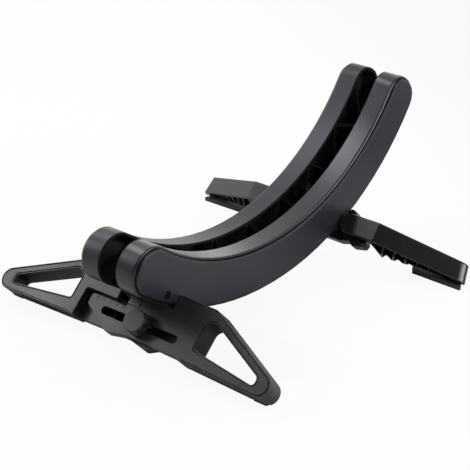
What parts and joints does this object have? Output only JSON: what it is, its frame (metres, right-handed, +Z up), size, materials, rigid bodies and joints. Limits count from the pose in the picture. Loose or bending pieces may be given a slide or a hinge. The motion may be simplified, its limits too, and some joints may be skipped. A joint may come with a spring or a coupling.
{
  "type": "floor bike stand",
  "caption": "Adjustable-width floor stand with two curved arms that cradle a cycle wheel, windowed front feet and folding rear legs.",
  "frame": {"origin": "on the floor, in the middle of the box around the stand", "axes": "+X across the stand to the half with the long slot, +Y from the feet at the front to the rear legs, +Z up"},
  "size_m": [0.3464, 0.43, 0.1741],
  "materials": {
    "arm_plastic": "satin moulded black, ribbed inside",
    "cover_plastic": "fine matt texture, dark grey",
    "foot_plastic": "fine matt texture, charcoal",
    "leg_plastic": "satin moulded black",
    "knob_plastic": "fine matt texture, charcoal",
    "pad_rubber": "soft matt grey",
    "dark_steel": "blackened fasteners",
    "bright_steel": "plated pins and bolt"
  },
  "bodies": {
    "left_side": {"left_arm_shell": "arm_plastic", "left_arm_cover": "cover_plastic", "left_foot": "foot_plastic", "left_foot_pad": "pad_rubber", "left_foot_screw": "dark_steel", "left_leg_bracket": "leg_plastic", "left_bracket_screw": "dark_steel", "clamp_nut": "dark_steel"},
    "right_side": {"right_arm_shell": "arm_plastic", "right_arm_cover": "cover_plastic", "right_foot": "foot_plastic", "right_foot_pad": "pad_rubber", "right_foot_screw": "dark_steel", "right_leg_bracket": "leg_plastic", "right_bracket_screw": "dark_steel"},
    "knob": {"clamp_knob": "knob_plastic", "clamp_bolt": "bright_steel", "clamp_washer": "dark_steel"},
    "left_leg": {"left_leg": "leg_plastic", "left_leg_pin": "bright_steel", "left_leg_pad": "pad_rubber"},
    "right_leg": {"right_leg": "leg_plastic", "right_leg_pin": "bright_steel", "right_leg_pad": "pad_rubber"}
  },
  "joints": [
    {"name": "width_slide", "type": "slide", "parent": "left_side", "child": "right_side", "axis": [1, 0, 0], "range_m": [-0.006, 0.045]},
    {"name": "knob_turn", "type": "hinge", "parent": "left_side", "child": "knob", "pos_m": [0.0119, -0.1859, 0.02759], "axis": [0, -0.6882, 0.7255], "range_deg": [0, 720]},
    {"name": "left_leg_fold", "type": "hinge", "parent": "left_side", "child": "left_leg", "pos_m": [-0.0476, 0.08806, 0.04663], "axis": [0, 0.7423, -0.67], "range_deg": [0, 90]},
    {"name": "right_leg_fold", "type": "hinge", "parent": "right_side", "child": "right_leg", "pos_m": [0.0476, 0.08806, 0.04663], "axis": [0, -0.7423, 0.67], "range_deg": [0, 90]}
  ]
}
